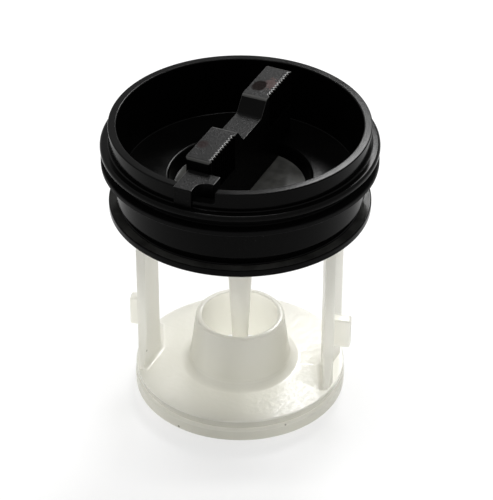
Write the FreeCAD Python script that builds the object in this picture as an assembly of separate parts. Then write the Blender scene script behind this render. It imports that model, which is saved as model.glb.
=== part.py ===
import FreeCAD, Part
import math
import os

os.makedirs("parts", exist_ok=True)

V = FreeCAD.Vector
UP = V(0, 0, 1)
ORIGIN = V(0, 0, 0)

# Base of the cage: a thin disc over a hollow foot ring
DISC_R = 25.5
DISC_Z = 5.6
DISC_LIP = 1.1
DISC_T = 1.5
FOOT_PROUD = 0.2
FOOT_H = 2.9
FOOT_GROOVE = 0.75
FOOT_WALL = 1.7
SHOULDER_H = 0.35

# Conical hub standing on the disc
HUB_H = 13.2
HUB_TOP_R = 10.75
HUB_FLARE = 1.75
HUB_WALL = 1.5
HUB_FILLET = 2.6

# Two legs of V section, apex inwards, turned from the +X axis, the second leg half a turn on
WINDOW_H = 46.0
LEG_AT = 14.5
LEG_SET_IN = 0.5
LEG_DEEP = 4.9
LEG_WALL = 2.4
LEG_SLOPE = 13.0
LEG_FLARE_W = 2.4
LEG_FLARE_H = 12.0
LEG_FILLET = 1.2

# Bayonet lugs in the outer hollow of the legs
LUG_Z = 13.0
LUG_H = 7.8
LUG_OUT = 2.2
LUG_W = 3.0
LUG_EDGE = 0.5

# Stem hanging from the top plate down into the hub
STEM_ROOT_R = 3.9
STEM_TIP_R = 1.75
STEM_REACH = 11.5
STEM_STEP = 0.09
STEP_ABOVE = 0.5
STEM_FILLET = 1.2

# Snap fit of the cage's top plate in the skirt of the cap
PLATE_T = 1.85
PLATE_CLEAR = 0.12
SNAP_H = 1.15
SNAP_D = 0.65
SNAP_CLEAR = 0.05
SNAP_TOP = 0.25
SNAP_SLOPE = 0.45
LEG_CLEAR = 0.35
KEY_W = 3.0
KEY_D = 1.6
KEY_CLEAR = 0.1

# Cap walls, each radius stepping out from the skirt
SKIRT_T = 2.2
GUIDE_OUT = 2.6
BAND_OUT = 1.0
SEAT_D = 0.25
FLANGE_OUT = 3.2
RIM_OUT = 1.23
RIM_T = 1.93
CUP_DRAFT = 1.1
FLOOR_T = 1.8
WELL_R = 16.75
WELL_DRAFT = 1.25
WELL_DEPTH = 2.9

# Cap heights, stacked from the foot of the skirt
GUIDE_T = 1.7
RECESS_H = 1.9
BAND_H = 8.4
SEAT_H = 4.0
FLANGE_T = 1.35
RIM_H = 4.65

# Handle bar along Y with two serrated pads
BAR_W = 6.3
BAR_LONG = 44.6
PAD_RISE = 2.4
PAD_IN = 8.0
SADDLE_DROP = 3.6
SADDLE_HALF = 4.9
TOOTH_PITCH = 1.1
TOOTH_D = 0.55
TEETH = 11
TOOTH_H = 9.0
TOOTH_END = 1.3
BAR_EDGE = 0.8
PAD_EDGE = 1.3

# Block on the front of the rim
BLOCK_LEFT = 1.85
BLOCK_RIGHT = 2.5
BLOCK_OUT = 0.5
BLOCK_IN = 7.9
EAR_W = 3.5
EAR_BACK = 4.3
EAR_ROUND = 2.4
SLOT_W = 1.7
SLOT_D = 2.9

# Rubber lip seal on the neck
SEAL_WALL = 1.0
LIP_T = 1.3
LIP_INSIDE = 0.1

# Moulded edges: those rounded by less than the last size are broken flat
EDGE = 0.3
FINE_EDGE = 0.15
SOFT_EDGE = 0.7
ROUND_FROM = 0.6

# Levels and radii that follow from the sizes above
foot_r = DISC_R + FOOT_PROUD
leg_r = DISC_R - LEG_SET_IN
cap_z = DISC_Z + WINDOW_H
plate_z = cap_z + SNAP_H
plate_top = plate_z + PLATE_T
well_z = plate_top + FLOOR_T
cup_z = well_z + WELL_DEPTH
guide_z = cap_z + GUIDE_T
band_z = guide_z + RECESS_H
seat_z = band_z + BAND_H
flange_z = seat_z + SEAT_H
rim_foot = flange_z + FLANGE_T
rim_z = rim_foot + RIM_H
pad_z = rim_z + PAD_RISE
saddle_z = pad_z - SADDLE_DROP
snap_r = leg_r + LEG_CLEAR
skirt_r = snap_r + SNAP_D
plate_r = skirt_r - PLATE_CLEAR
neck_r = skirt_r + SKIRT_T
band_r = neck_r + BAND_OUT
seat_r = band_r - SEAT_D
flange_r = band_r + FLANGE_OUT
rim_r = band_r + RIM_OUT
cup_r = rim_r - RIM_T


def around(radius, angle, z=0.0):
    """A point at a radius and an angle about the axis."""
    a = math.radians(angle)
    return V(radius * math.cos(a), radius * math.sin(a), z)


def outline(corners):
    """A flat face from (point, rounding) corners in order, large ones rounded and small ones broken."""
    bends = []
    for i, (here, rounding) in enumerate(corners):
        back = (corners[i - 1][0] - here).normalize()
        ahead = (corners[(i + 1) % len(corners)][0] - here).normalize()
        half = back.getAngle(ahead) / 2
        reach = rounding / math.tan(half)
        middle = here + (back + ahead).normalize() * (rounding / math.sin(half) - rounding)
        bends.append((here + back * reach, middle, here + ahead * reach, rounding))
    edges = []
    for i, (start, middle, end, rounding) in enumerate(bends):
        before = bends[i - 1][2]
        if before.distanceToPoint(start) > 1e-6:
            edges.append(Part.makeLine(before, start))
        if rounding >= ROUND_FROM:
            edges.append(Part.Arc(start, middle, end).toShape())
        elif rounding:
            edges.append(Part.makeLine(start, end))
    return Part.Face(Part.Wire(edges))


def turned(corners):
    """A solid turned about the axis from (radius, height, rounding) corners."""
    face = outline([(V(r, 0, z), rounding) for r, z, rounding in corners])
    return face.revolve(ORIGIN, UP, 360)


def slab(corners, low, high):
    """An upright prism from (x, y, rounding) corners."""
    face = outline([(V(x, y, low), rounding) for x, y, rounding in corners])
    return face.extrude(UP * (high - low))


def half_turn(shape):
    """A copy turned half a turn about the axis."""
    copy = shape.copy()
    copy.rotate(ORIGIN, UP, 180)
    return copy


# Cage base: disc with a thin lip, groove, rounded foot ring, hollow below
disc_low = DISC_Z - DISC_T
groove_r = foot_r - FOOT_GROOVE
hub_foot_r = HUB_TOP_R + HUB_FLARE
hub_z = DISC_Z + HUB_H
hub_in = HUB_TOP_R - HUB_WALL
base = turned([
    (hub_in + HUB_FLARE, disc_low, 0.0),
    (foot_r - FOOT_WALL, disc_low, EDGE),
    (foot_r - FOOT_WALL, 0.0, EDGE),
    (foot_r, 0.0, EDGE),
    (foot_r, FOOT_H, SOFT_EDGE),
    (groove_r, FOOT_H + SHOULDER_H, FINE_EDGE),
    (groove_r, DISC_Z - DISC_LIP, FINE_EDGE),
    (DISC_R, DISC_Z - DISC_LIP, FINE_EDGE),
    (DISC_R, DISC_Z, EDGE),
    (hub_foot_r, DISC_Z, HUB_FILLET),
    (HUB_TOP_R, hub_z, SOFT_EDGE),
    (hub_in, hub_z, EDGE),
])

# Half a leg about the X axis: a flange that slopes from the inner apex out to the leg's cylinder
leg_foot = DISC_Z - DISC_T / 2
apex_r = leg_r - LEG_DEEP
slope = math.radians(LEG_SLOPE)
flange_far = apex_r * math.cos(slope) + LEG_WALL
tip_angle = math.degrees(math.acos(flange_far / leg_r)) - LEG_SLOPE
across = around(LEG_WALL, -LEG_SLOPE)
tip = around(leg_r, tip_angle, DISC_Z)
tip_in = tip - across
down = UP * (leg_foot - DISC_Z)
flange = outline([
    (V(apex_r, 0, leg_foot), 0.0),
    (tip_in + down, 0.0),
    (tip + down, 0.0),
    (V(flange_far / math.cos(slope), 0, leg_foot), 0.0),
]).extrude(UP * (plate_z + PLATE_T / 2 - leg_foot))


def foot_strip(start, run, facing, width, height):
    """Strip that runs an upright face into the disc with a hollow arc, tangent to the face."""
    radius = (width ** 2 + height ** 2) / (2 * width)
    turn = math.asin(height / radius) / 2
    top = start + UP * height
    toe = start + around(width, facing)
    middle = top + around(radius - radius * math.cos(turn), facing) - UP * radius * math.sin(turn)
    section = Part.Wire([
        Part.Arc(toe, middle, top).toShape(),
        Part.makeLine(top, start + down),
        Part.makeLine(start + down, toe + down),
        Part.makeLine(toe + down, toe),
    ])
    return Part.Face(section).extrude(run)


# Tall flare at the flange's end and a fillet along its inner face, mirrored for the other half
flare = foot_strip(tip_in, across, 90 - LEG_SLOPE, LEG_FLARE_W, LEG_FLARE_H)
fillet_from = V(apex_r, 0, DISC_Z) - around(LEG_FILLET, 90 - LEG_SLOPE)
fillet_run = tip_in + around(LEG_FLARE_W, 90 - LEG_SLOPE) - fillet_from
fillet = foot_strip(fillet_from, fillet_run, 180 - LEG_SLOPE, LEG_FILLET, LEG_FILLET)
one_side = Part.makeBox(2 * leg_r, 2 * leg_r, 2 * plate_z)
half_leg = flange.multiFuse([flare, fillet]).common(one_side).common(Part.makeCylinder(leg_r, 2 * plate_z))

# Bayonet lug: a rounded block standing out of the leg's hollow
lug_root = apex_r + LEG_WALL / 2
lug = Part.makeBox(leg_r + LUG_OUT - lug_root, LUG_W, LUG_H, V(lug_root, -LUG_W / 2, LUG_Z))
lug_rim = [e for e in lug.Edges if e.BoundBox.XMax > leg_r + LUG_OUT / 2]
lug = lug.makeFillet(LUG_EDGE, lug_rim)
leg = half_leg.multiFuse([half_leg.mirror(ORIGIN, V(0, 1, 0)), lug])
leg.rotate(ORIGIN, UP, LEG_AT)

# Top plate with the tapered stem and two key notches
step_z = hub_z + STEP_ABOVE
tip_z = hub_z - STEM_REACH
step_r = STEM_TIP_R + (STEM_ROOT_R - STEM_TIP_R) * (step_z - tip_z) / (plate_z - tip_z)
plate = turned([
    (0.0, tip_z, 0.0),
    (STEM_TIP_R, tip_z, EDGE),
    (step_r - STEM_STEP, step_z, 0.0),
    (step_r, step_z, 0.0),
    (STEM_ROOT_R, plate_z, STEM_FILLET),
    (plate_r, plate_z, FINE_EDGE),
    (plate_r, plate_top, EDGE),
    (0.0, plate_top, 0.0),
])


def key(width, depth, low, high):
    """A bar from inside the plate's edge out into the skirt, square to the legs."""
    bar = Part.makeBox(depth + SKIRT_T / 2, width, high - low, V(skirt_r - depth, -width / 2, low))
    bar.rotate(ORIGIN, UP, LEG_AT + 90)
    return bar


notch = key(KEY_W + 2 * KEY_CLEAR, KEY_D + KEY_CLEAR, plate_z - 1, plate_top + 1)
plate = plate.cut(notch.fuse(half_turn(notch)))
cage = base.multiFuse([plate, leg, half_turn(leg)]).removeSplitter()

# Cap body turned in one outline: floor, skirt with snap bead, neck, flange, rim, cup and well
cup_low = cup_z - FLOOR_T
guide_r = neck_r + GUIDE_OUT
well_floor_r = WELL_R - WELL_DRAFT
body = turned([
    (0.0, plate_top, 0.0),
    (well_floor_r + FLOOR_T, plate_top, 0.0),
    (WELL_R + FLOOR_T, cup_low, EDGE),
    (skirt_r, cup_low, EDGE),
    (skirt_r, plate_z - SNAP_CLEAR, 0.0),
    (snap_r, plate_z - SNAP_CLEAR - SNAP_TOP, 0.0),
    (snap_r, cap_z + SNAP_SLOPE, 0.0),
    (snap_r + SNAP_SLOPE, cap_z, 0.0),
    (guide_r, cap_z, EDGE),
    (guide_r, guide_z, EDGE),
    (neck_r, guide_z, EDGE),
    (neck_r, band_z, EDGE),
    (band_r, band_z, SOFT_EDGE),
    (band_r, seat_z, FINE_EDGE),
    (seat_r, seat_z, 0.0),
    (seat_r, flange_z, 0.0),
    (flange_r, flange_z, EDGE),
    (flange_r, rim_foot, EDGE),
    (rim_r, rim_foot, EDGE),
    (rim_r, rim_z, EDGE),
    (cup_r, rim_z, EDGE),
    (cup_r - CUP_DRAFT, cup_z, EDGE),
    (WELL_R, cup_z, EDGE),
    (well_floor_r, well_z, EDGE),
    (0.0, well_z, 0.0),
])

# Slot in the rim beside and behind the ear of the block
slot_w = EAR_W + SLOT_W
slot = Part.makeBox(slot_w, rim_r, SLOT_D + 1, V(BLOCK_RIGHT, -1.5 * rim_r, rim_z - SLOT_D))
body = body.cut(slot)

# Rim block: outer part on the flange, inner part standing on the cup floor
block_y = -(rim_r + BLOCK_OUT)
ear_x = BLOCK_RIGHT + EAR_W
block_corners = [
    (-BLOCK_LEFT, block_y + BLOCK_IN, EDGE),
    (-BLOCK_LEFT, block_y, FINE_EDGE),
    (BLOCK_RIGHT, block_y, FINE_EDGE),
    (BLOCK_RIGHT, block_y + EAR_BACK, EAR_ROUND),
    (ear_x, block_y + EAR_BACK, EDGE),
    (ear_x, block_y + BLOCK_IN, EDGE),
]
block = slab(block_corners, rim_foot - FLANGE_T / 2, rim_z)
column = slab(block_corners, cup_z - FLOOR_T / 2, rim_foot)
block = block.fuse(column.common(Part.makeCylinder(seat_r - SEAT_D, 2 * rim_z)))

# Handle bar: side outline with a saddle between the pads, rounded plan, V-notched flanks
half = BAR_LONG / 2
bar_low = well_z - FLOOR_T / 2
bar_step = cup_z - FLOOR_T / 2
side = outline([(V(-BAR_W / 2, y, z), rounding) for y, z, rounding in (
    (-half, bar_step, 0.0),
    (-half, pad_z, BAR_EDGE),
    (-PAD_IN, pad_z, PAD_EDGE),
    (-SADDLE_HALF, saddle_z, BAR_EDGE),
    (SADDLE_HALF, saddle_z, BAR_EDGE),
    (PAD_IN, pad_z, PAD_EDGE),
    (half, pad_z, BAR_EDGE),
    (half, bar_step, 0.0),
    (well_floor_r, bar_step, 0.0),
    (well_floor_r, bar_low, 0.0),
    (-well_floor_r, bar_low, 0.0),
    (-well_floor_r, bar_step, 0.0),
)]).extrude(V(BAR_W, 0, 0))
plan = slab([
    (-BAR_W / 2, -half, BAR_EDGE),
    (BAR_W / 2, -half, BAR_EDGE),
    (BAR_W / 2, half, BAR_EDGE),
    (-BAR_W / 2, half, BAR_EDGE),
], bar_low, pad_z)
teeth = []
for n in range(TEETH):
    y = half - TOOTH_END - n * TOOTH_PITCH
    tooth = slab([
        (BAR_W / 2 - TOOTH_D, y, 0.0),
        (BAR_W / 2 + TOOTH_D, y - TOOTH_PITCH, 0.0),
        (BAR_W / 2 + TOOTH_D, y + TOOTH_PITCH, 0.0),
    ], pad_z - TOOTH_H, pad_z + 1)
    far = tooth.mirror(ORIGIN, V(0, 1, 0))
    teeth += [tooth, far, half_turn(tooth), half_turn(far)]
bar = side.common(plan).cut(Part.makeCompound(teeth))

# Key ribs inside the skirt
rib = key(KEY_W, KEY_D, plate_z, cup_low + FLOOR_T / 2)
cap = body.multiFuse([bar, block, rib, half_turn(rib)]).removeSplitter()

# Rubber lip seal: sleeve on the neck under the flange, thin lip at its lower end
lip_r = flange_r - LIP_INSIDE
sleeve_r = seat_r + SEAL_WALL
seal = turned([
    (seat_r, seat_z, 0.0),
    (lip_r, seat_z, EDGE),
    (lip_r, seat_z + LIP_T, EDGE),
    (sleeve_r, seat_z + LIP_T, EDGE),
    (sleeve_r, flange_z, FINE_EDGE),
    (seat_r, flange_z, 0.0),
])

cap.exportStep("parts/cap.step")
seal.exportStep("parts/seal.step")
cage.exportStep("parts/cage.step")
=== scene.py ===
import bmesh
import bpy
import math
from mathutils import Matrix, Vector


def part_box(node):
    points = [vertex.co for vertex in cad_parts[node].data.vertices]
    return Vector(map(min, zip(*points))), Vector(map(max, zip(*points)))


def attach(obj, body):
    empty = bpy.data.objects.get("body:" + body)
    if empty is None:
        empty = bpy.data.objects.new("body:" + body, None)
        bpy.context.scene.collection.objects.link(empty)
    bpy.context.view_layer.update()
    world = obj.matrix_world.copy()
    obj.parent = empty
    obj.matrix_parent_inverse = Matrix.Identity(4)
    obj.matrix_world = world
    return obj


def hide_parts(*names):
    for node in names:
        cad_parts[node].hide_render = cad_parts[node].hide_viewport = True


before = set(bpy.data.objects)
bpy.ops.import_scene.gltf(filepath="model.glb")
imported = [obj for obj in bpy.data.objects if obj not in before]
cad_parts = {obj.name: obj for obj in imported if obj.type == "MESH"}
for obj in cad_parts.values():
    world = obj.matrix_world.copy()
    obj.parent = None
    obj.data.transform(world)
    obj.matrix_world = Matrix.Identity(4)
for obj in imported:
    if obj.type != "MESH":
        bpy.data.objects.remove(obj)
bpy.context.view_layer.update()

# Cage: one milky white moulding, a foot ring under a disc with a conical hub, two legs of V section with
# a bayonet lug each, a top plate and a stem that hangs from it into the hub. It is injection moulded
# in translucent plastic and stands on the foot ring; its plate snaps up into the cap, out of sight.
MM = 0.001
cap_low, cap_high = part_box("cap")
cage_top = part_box("cage")[1].z / MM
cap_foot = cap_low.z / MM
DISC_R = 25.5
DISC_Z = 5.6
DISC_T = 1.5
DISC_LIP = 1.1
FOOT_R = 25.7
FOOT_H = 2.9
FOOT_WALL = 1.7
GROOVE_R = 24.95
SHOULDER_H = 0.35
HUB_Z = 18.8
HUB_TOP_R = 10.75
HUB_FOOT_R = 12.5
HUB_WALL = 1.5
HUB_FILLET = 2.6
STEM_ROOT_R = 3.9
STEM_TIP_R = 1.75
STEM_TIP_Z = 7.3
STEM_STEP_Z = 19.3
STEM_STEP = 0.09
STEM_FILLET = 1.2
PLATE_R = 25.88
PLATE_T = 1.85
KEY_W = 3.0
KEY_D = 1.6
KEY_CLEAR = 0.1
PLATE_CLEAR = 0.12
LEG_AT = 14.5
LEG_R = 25.0
LEG_DEEP = 4.9
LEG_WALL = 2.4
LEG_SLOPE = 13.0
LEG_EDGE = 0.3
LEG_LAND = 0.5
APEX_ROUND = 1.5
FLARE_W = 2.4
FLARE_H = 12.0
FLARE_STEPS = 16
LEG_FILLET = 1.2
LEG_STEPS = 8
LUG_Z = 13.0
LUG_H = 7.8
LUG_W = 3.0
LUG_OUT = 2.2
LUG_EDGE = 0.5
EDGE = 0.3
FINE_EDGE = 0.15
SOFT_EDGE = 0.7
ROUND_SEGMENTS = 192
CORNER_STEPS = 5
POLE_GAP = 0.0005
CREASE = 35.0
EASE_ANGLE = 50.0
CUT_SPARE = 1.0


def new_tree(name, kind, inputs, outputs):
    """A node group with named sockets, each given as name: (socket type, default value or None)."""
    tree = bpy.data.node_groups.new(name, kind)
    for way, sockets in (("INPUT", inputs), ("OUTPUT", outputs)):
        for label, (socket, value) in sockets.items():
            made = tree.interface.new_socket(label, in_out=way, socket_type="NodeSocket" + socket)
            if value is not None:
                made.default_value = value
    return tree


def chain(tree, *steps):
    """Links nodes one after another through (output, input) pairs of sockets."""
    for source, target in steps:
        tree.links.new(source, target)


def run_tree(tree, mesh, values):
    """The plain mesh that a tree makes of a mesh, with its inputs set by name."""
    carrier = bpy.data.objects.new(tree.name, mesh)
    bpy.context.scene.collection.objects.link(carrier)
    nodes = carrier.modifiers.new(tree.name, "NODES")
    nodes.node_group = tree
    for socket in tree.interface.items_tree:
        if socket.in_out == "INPUT" and socket.name in values:
            nodes[socket.identifier] = values[socket.name]
    shown = carrier.evaluated_get(bpy.context.evaluated_depsgraph_get())
    made = bpy.data.meshes.new_from_object(shown)
    bpy.data.objects.remove(carrier)
    return made


# Node tree for a turned form: an outline of corners, each rounded by its own radius, swept round the axis
lathe = new_tree(
    "turned_form", "GeometryNodeTree",
    {
        "outline": ("Geometry", None), "segments": ("Int", 64), "steps": ("Int", 4),
        "finish": ("Material", None),
    },
    {"form": ("Geometry", None)},
)
lathe_in = lathe.nodes.new("NodeGroupInput")
lathe_out = lathe.nodes.new("NodeGroupOutput")
outline_curve = lathe.nodes.new("GeometryNodeMeshToCurve")
corner_radius = lathe.nodes.new("GeometryNodeInputNamedAttribute")
corner_radius.inputs["Name"].default_value = "rounding"
corner_round = lathe.nodes.new("GeometryNodeFilletCurve")
corner_round.mode = "POLY"
corner_round.inputs["Limit Radius"].default_value = True
axis_circle = lathe.nodes.new("GeometryNodeCurvePrimitiveCircle")
axis_circle.inputs["Radius"].default_value = 1.0
sweep = lathe.nodes.new("GeometryNodeCurveToMesh")
close_poles = lathe.nodes.new("GeometryNodeMergeByDistance")
close_poles.inputs["Distance"].default_value = POLE_GAP
lathe_real = lathe.nodes.new("GeometryNodeRealizeInstances")
lathe_finish = lathe.nodes.new("GeometryNodeSetMaterial")
chain(
    lathe,
    (lathe_in.outputs["outline"], outline_curve.inputs["Mesh"]),
    (outline_curve.outputs["Curve"], corner_round.inputs["Curve"]),
    (corner_radius.outputs["Attribute"], corner_round.inputs["Radius"]),
    (lathe_in.outputs["steps"], corner_round.inputs["Count"]),
    (lathe_in.outputs["segments"], axis_circle.inputs["Resolution"]),
    (axis_circle.outputs["Curve"], sweep.inputs["Curve"]),
    (corner_round.outputs["Curve"], sweep.inputs["Profile Curve"]),
    (sweep.outputs["Mesh"], close_poles.inputs["Geometry"]),
    (close_poles.outputs["Geometry"], lathe_real.inputs["Geometry"]),
    (lathe_real.outputs["Geometry"], lathe_finish.inputs["Geometry"]),
    (lathe_in.outputs["finish"], lathe_finish.inputs["Material"]),
    (lathe_finish.outputs["Geometry"], lathe_out.inputs["form"]),
)


def face_outwards(mesh):
    """Turns the faces of a closed mesh outwards."""
    shell = bmesh.new()
    shell.from_mesh(mesh)
    bmesh.ops.recalc_face_normals(shell, faces=shell.faces)
    shell.to_mesh(mesh)
    shell.free()
    return mesh


def turned(corners, finish):
    """A form turned from (radius, height, rounding) corners; one that starts on the axis ends there too."""
    outline = bpy.data.meshes.new("outline")
    last = len(corners) - 1
    edges = [(i, i + 1) for i in range(last)]
    if corners[0][0] > 0:
        edges.append((last, 0))
    outline.from_pydata([(r - 1.0, -z, 0.0) for r, z, rounding in corners], edges, [])
    radii = outline.attributes.new("rounding", "FLOAT", "POINT")
    radii.data.foreach_set("value", [rounding for r, z, rounding in corners])
    values = {"segments": ROUND_SEGMENTS, "steps": CORNER_STEPS, "finish": finish}
    return face_outwards(run_tree(lathe, outline, values))


# Node tree for copies of a form round the axis, evenly spaced
ring_of = new_tree(
    "copies_round_the_axis", "GeometryNodeTree",
    {"form": ("Geometry", None), "copies": ("Int", 2), "finish": ("Material", None)},
    {"copies": ("Geometry", None)},
)
ring_in = ring_of.nodes.new("NodeGroupInput")
ring_out = ring_of.nodes.new("NodeGroupOutput")
ring_points = ring_of.nodes.new("GeometryNodePoints")
ring_index = ring_of.nodes.new("GeometryNodeInputIndex")
ring_step = ring_of.nodes.new("ShaderNodeMath")
ring_step.operation = "DIVIDE"
ring_step.inputs[0].default_value = 2 * math.pi
ring_angle = ring_of.nodes.new("ShaderNodeMath")
ring_angle.operation = "MULTIPLY"
ring_turn = ring_of.nodes.new("ShaderNodeCombineXYZ")
ring_place = ring_of.nodes.new("GeometryNodeInstanceOnPoints")
ring_real = ring_of.nodes.new("GeometryNodeRealizeInstances")
ring_finish = ring_of.nodes.new("GeometryNodeSetMaterial")
chain(
    ring_of,
    (ring_in.outputs["copies"], ring_points.inputs["Count"]),
    (ring_in.outputs["copies"], ring_step.inputs[1]),
    (ring_step.outputs["Value"], ring_angle.inputs[0]),
    (ring_index.outputs["Index"], ring_angle.inputs[1]),
    (ring_angle.outputs["Value"], ring_turn.inputs["Z"]),
    (ring_points.outputs["Points"], ring_place.inputs["Points"]),
    (ring_in.outputs["form"], ring_place.inputs["Instance"]),
    (ring_turn.outputs["Vector"], ring_place.inputs["Rotation"]),
    (ring_place.outputs["Instances"], ring_real.inputs["Geometry"]),
    (ring_real.outputs["Geometry"], ring_finish.inputs["Geometry"]),
    (ring_in.outputs["finish"], ring_finish.inputs["Material"]),
    (ring_finish.outputs["Geometry"], ring_out.inputs["copies"]),
)


def loft(rings):
    """A closed mesh through rings of points, with a flat face on the first and the last."""
    count = len(rings[0])
    points = [point for ring in rings for point in ring]
    faces = [list(range(count)), [len(points) - count + i for i in range(count)]]
    for level in range(len(rings) - 1):
        low = level * count
        for i in range(count):
            j = (i + 1) % count
            faces.append([low + i, low + j, low + count + j, low + count + i])
    mesh = bpy.data.meshes.new("loft")
    mesh.from_pydata(points, [], faces)
    return face_outwards(mesh)


def eased(mesh, width, steps=3):
    """The mesh with its corners rounded."""
    carrier = bpy.data.objects.new("eased", mesh)
    bpy.context.scene.collection.objects.link(carrier)
    bevel = carrier.modifiers.new("corners", "BEVEL")
    bevel.width = width
    bevel.segments = steps
    bevel.limit_method = "ANGLE"
    bevel.angle_limit = math.radians(EASE_ANGLE)
    made = bpy.data.meshes.new_from_object(carrier.evaluated_get(bpy.context.evaluated_depsgraph_get()))
    bpy.data.objects.remove(carrier)
    return made


def merged(body, cut=(), kept=(), added=()):
    """One closed mesh: the body less its cutters, held inside other forms, then with more forms fused on."""
    carrier = bpy.data.objects.new("body", body)
    bpy.context.scene.collection.objects.link(carrier)
    tools = []
    for operation, forms in (("DIFFERENCE", cut), ("INTERSECT", kept), ("UNION", added)):
        for form in forms:
            tool = bpy.data.objects.new("tool", form)
            bpy.context.scene.collection.objects.link(tool)
            tools.append(tool)
            step = carrier.modifiers.new(operation, "BOOLEAN")
            step.operation = operation
            step.solver = "EXACT"
            step.object = tool
    made = bpy.data.meshes.new_from_object(carrier.evaluated_get(bpy.context.evaluated_depsgraph_get()))
    for spare in [carrier, *tools]:
        bpy.data.objects.remove(spare)
    return made


def show(name, mesh, finish, node):
    """Shows a piece in metres in place of its node, with smooth faces, crisp corners and one finish."""
    mesh.transform(Matrix.Scale(MM, 4))
    mesh.materials.clear()
    mesh.materials.append(finish)
    mesh.polygons.foreach_set("material_index", [0] * len(mesh.polygons))
    mesh.shade_smooth()
    mesh.set_sharp_from_angle(angle=math.radians(CREASE))
    carrier = bpy.data.objects.new(name, mesh)
    bpy.context.scene.collection.objects.link(carrier)
    weights = carrier.modifiers.new("flat faces stay flat", "WEIGHTED_NORMAL")
    weights.keep_sharp = True
    made = bpy.data.meshes.new_from_object(carrier.evaluated_get(bpy.context.evaluated_depsgraph_get()))
    bpy.data.objects.remove(carrier)
    made.name = name
    piece = bpy.data.objects.new(name, made)
    bpy.context.scene.collection.objects.link(piece)
    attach(piece, "root")
    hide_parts(node)


def around(radius, angle, z=0.0):
    """A point at a radius and an angle in degrees about the axis."""
    a = math.radians(angle)
    return Vector((radius * math.cos(a), radius * math.sin(a), z))


# Shader group shared by all three finishes: a fine grain and slow drifts over the surface
DRIFT_DETAIL = 4.0
grain = new_tree(
    "moulded_grain", "ShaderNodeTree",
    {"Grain per metre": ("Float", 4000.0), "Drift per metre": ("Float", 120.0), "Detail": ("Float", 3.0)},
    {"Height": ("Float", None), "Drift": ("Float", None)},
)
grain_in = grain.nodes.new("NodeGroupInput")
grain_out = grain.nodes.new("NodeGroupOutput")
grain_place = grain.nodes.new("ShaderNodeTexCoord")
grain_fine = grain.nodes.new("ShaderNodeTexNoise")
grain_slow = grain.nodes.new("ShaderNodeTexNoise")
grain_slow.inputs["Detail"].default_value = DRIFT_DETAIL
chain(
    grain,
    (grain_place.outputs["Object"], grain_fine.inputs["Vector"]),
    (grain_place.outputs["Object"], grain_slow.inputs["Vector"]),
    (grain_in.outputs["Grain per metre"], grain_fine.inputs["Scale"]),
    (grain_in.outputs["Detail"], grain_fine.inputs["Detail"]),
    (grain_in.outputs["Drift per metre"], grain_slow.inputs["Scale"]),
    (grain_fine.outputs["Fac"], grain_out.inputs["Height"]),
    (grain_slow.outputs["Fac"], grain_out.inputs["Drift"]),
)

# Shader group shared by both plastics: a soft oval spot with a ragged edge, for dirt and stains
RAGS_PER_M = 1500.0
spot = new_tree(
    "ragged_spot", "ShaderNodeTree",
    {
        "Centre": ("Vector", None), "Stretch": ("Vector", (1.0, 1.0, 1.0)), "Radius": ("Float", 0.001),
        "Softness": ("Float", 0.0005), "Ragged": ("Float", 0.0),
    },
    {"Mask": ("Float", None)},
)
spot_in = spot.nodes.new("NodeGroupInput")
spot_out = spot.nodes.new("NodeGroupOutput")
spot_place = spot.nodes.new("ShaderNodeTexCoord")
spot_offset = spot.nodes.new("ShaderNodeVectorMath")
spot_offset.operation = "SUBTRACT"
spot_oval = spot.nodes.new("ShaderNodeVectorMath")
spot_oval.operation = "MULTIPLY"
spot_far = spot.nodes.new("ShaderNodeVectorMath")
spot_far.operation = "LENGTH"
spot_noise = spot.nodes.new("ShaderNodeTexNoise")
spot_noise.inputs["Scale"].default_value = RAGS_PER_M
spot_shift = spot.nodes.new("ShaderNodeMath")
spot_shift.operation = "MULTIPLY_ADD"
spot_edge = spot.nodes.new("ShaderNodeMath")
spot_edge.operation = "ADD"
spot_fade = spot.nodes.new("ShaderNodeMapRange")
spot_fade.interpolation_type = "SMOOTHSTEP"
spot_fade.inputs["To Min"].default_value = 1.0
spot_fade.inputs["To Max"].default_value = 0.0
chain(
    spot,
    (spot_place.outputs["Object"], spot_offset.inputs[0]),
    (spot_in.outputs["Centre"], spot_offset.inputs[1]),
    (spot_offset.outputs["Vector"], spot_oval.inputs[0]),
    (spot_in.outputs["Stretch"], spot_oval.inputs[1]),
    (spot_oval.outputs["Vector"], spot_far.inputs[0]),
    (spot_place.outputs["Object"], spot_noise.inputs["Vector"]),
    (spot_noise.outputs["Fac"], spot_shift.inputs[0]),
    (spot_in.outputs["Ragged"], spot_shift.inputs[1]),
    (spot_far.outputs["Value"], spot_shift.inputs[2]),
    (spot_shift.outputs["Value"], spot_fade.inputs["Value"]),
    (spot_in.outputs["Radius"], spot_fade.inputs["From Min"]),
    (spot_in.outputs["Radius"], spot_edge.inputs[0]),
    (spot_in.outputs["Softness"], spot_edge.inputs[1]),
    (spot_edge.outputs["Value"], spot_fade.inputs["From Max"]),
    (spot_fade.outputs["Result"], spot_out.inputs["Mask"]),
)


def new_finish(name):
    """A finish with its node tree and its main shader."""
    finish = bpy.data.materials.new(name)
    finish.use_nodes = True
    return finish, finish.node_tree, finish.node_tree.nodes["Principled BSDF"]


def add_group(tree, group, values):
    """A shader group placed in a material with its own values."""
    node = tree.nodes.new("ShaderNodeGroup")
    node.node_tree = group
    for label, value in values.items():
        node.inputs[label].default_value = value
    return node


def with_share(mesh, name, rule):
    """Gives each face of a mesh its share of an effect."""
    layer = mesh.attributes.new(name, "FLOAT", "FACE")
    layer.data.foreach_set("value", [rule(face) for face in mesh.polygons])


def face_share(tree, name):
    """The socket that gives a material the share its faces carry."""
    share = tree.nodes.new("ShaderNodeAttribute")
    share.attribute_name = name
    return share.outputs["Fac"]


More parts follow.
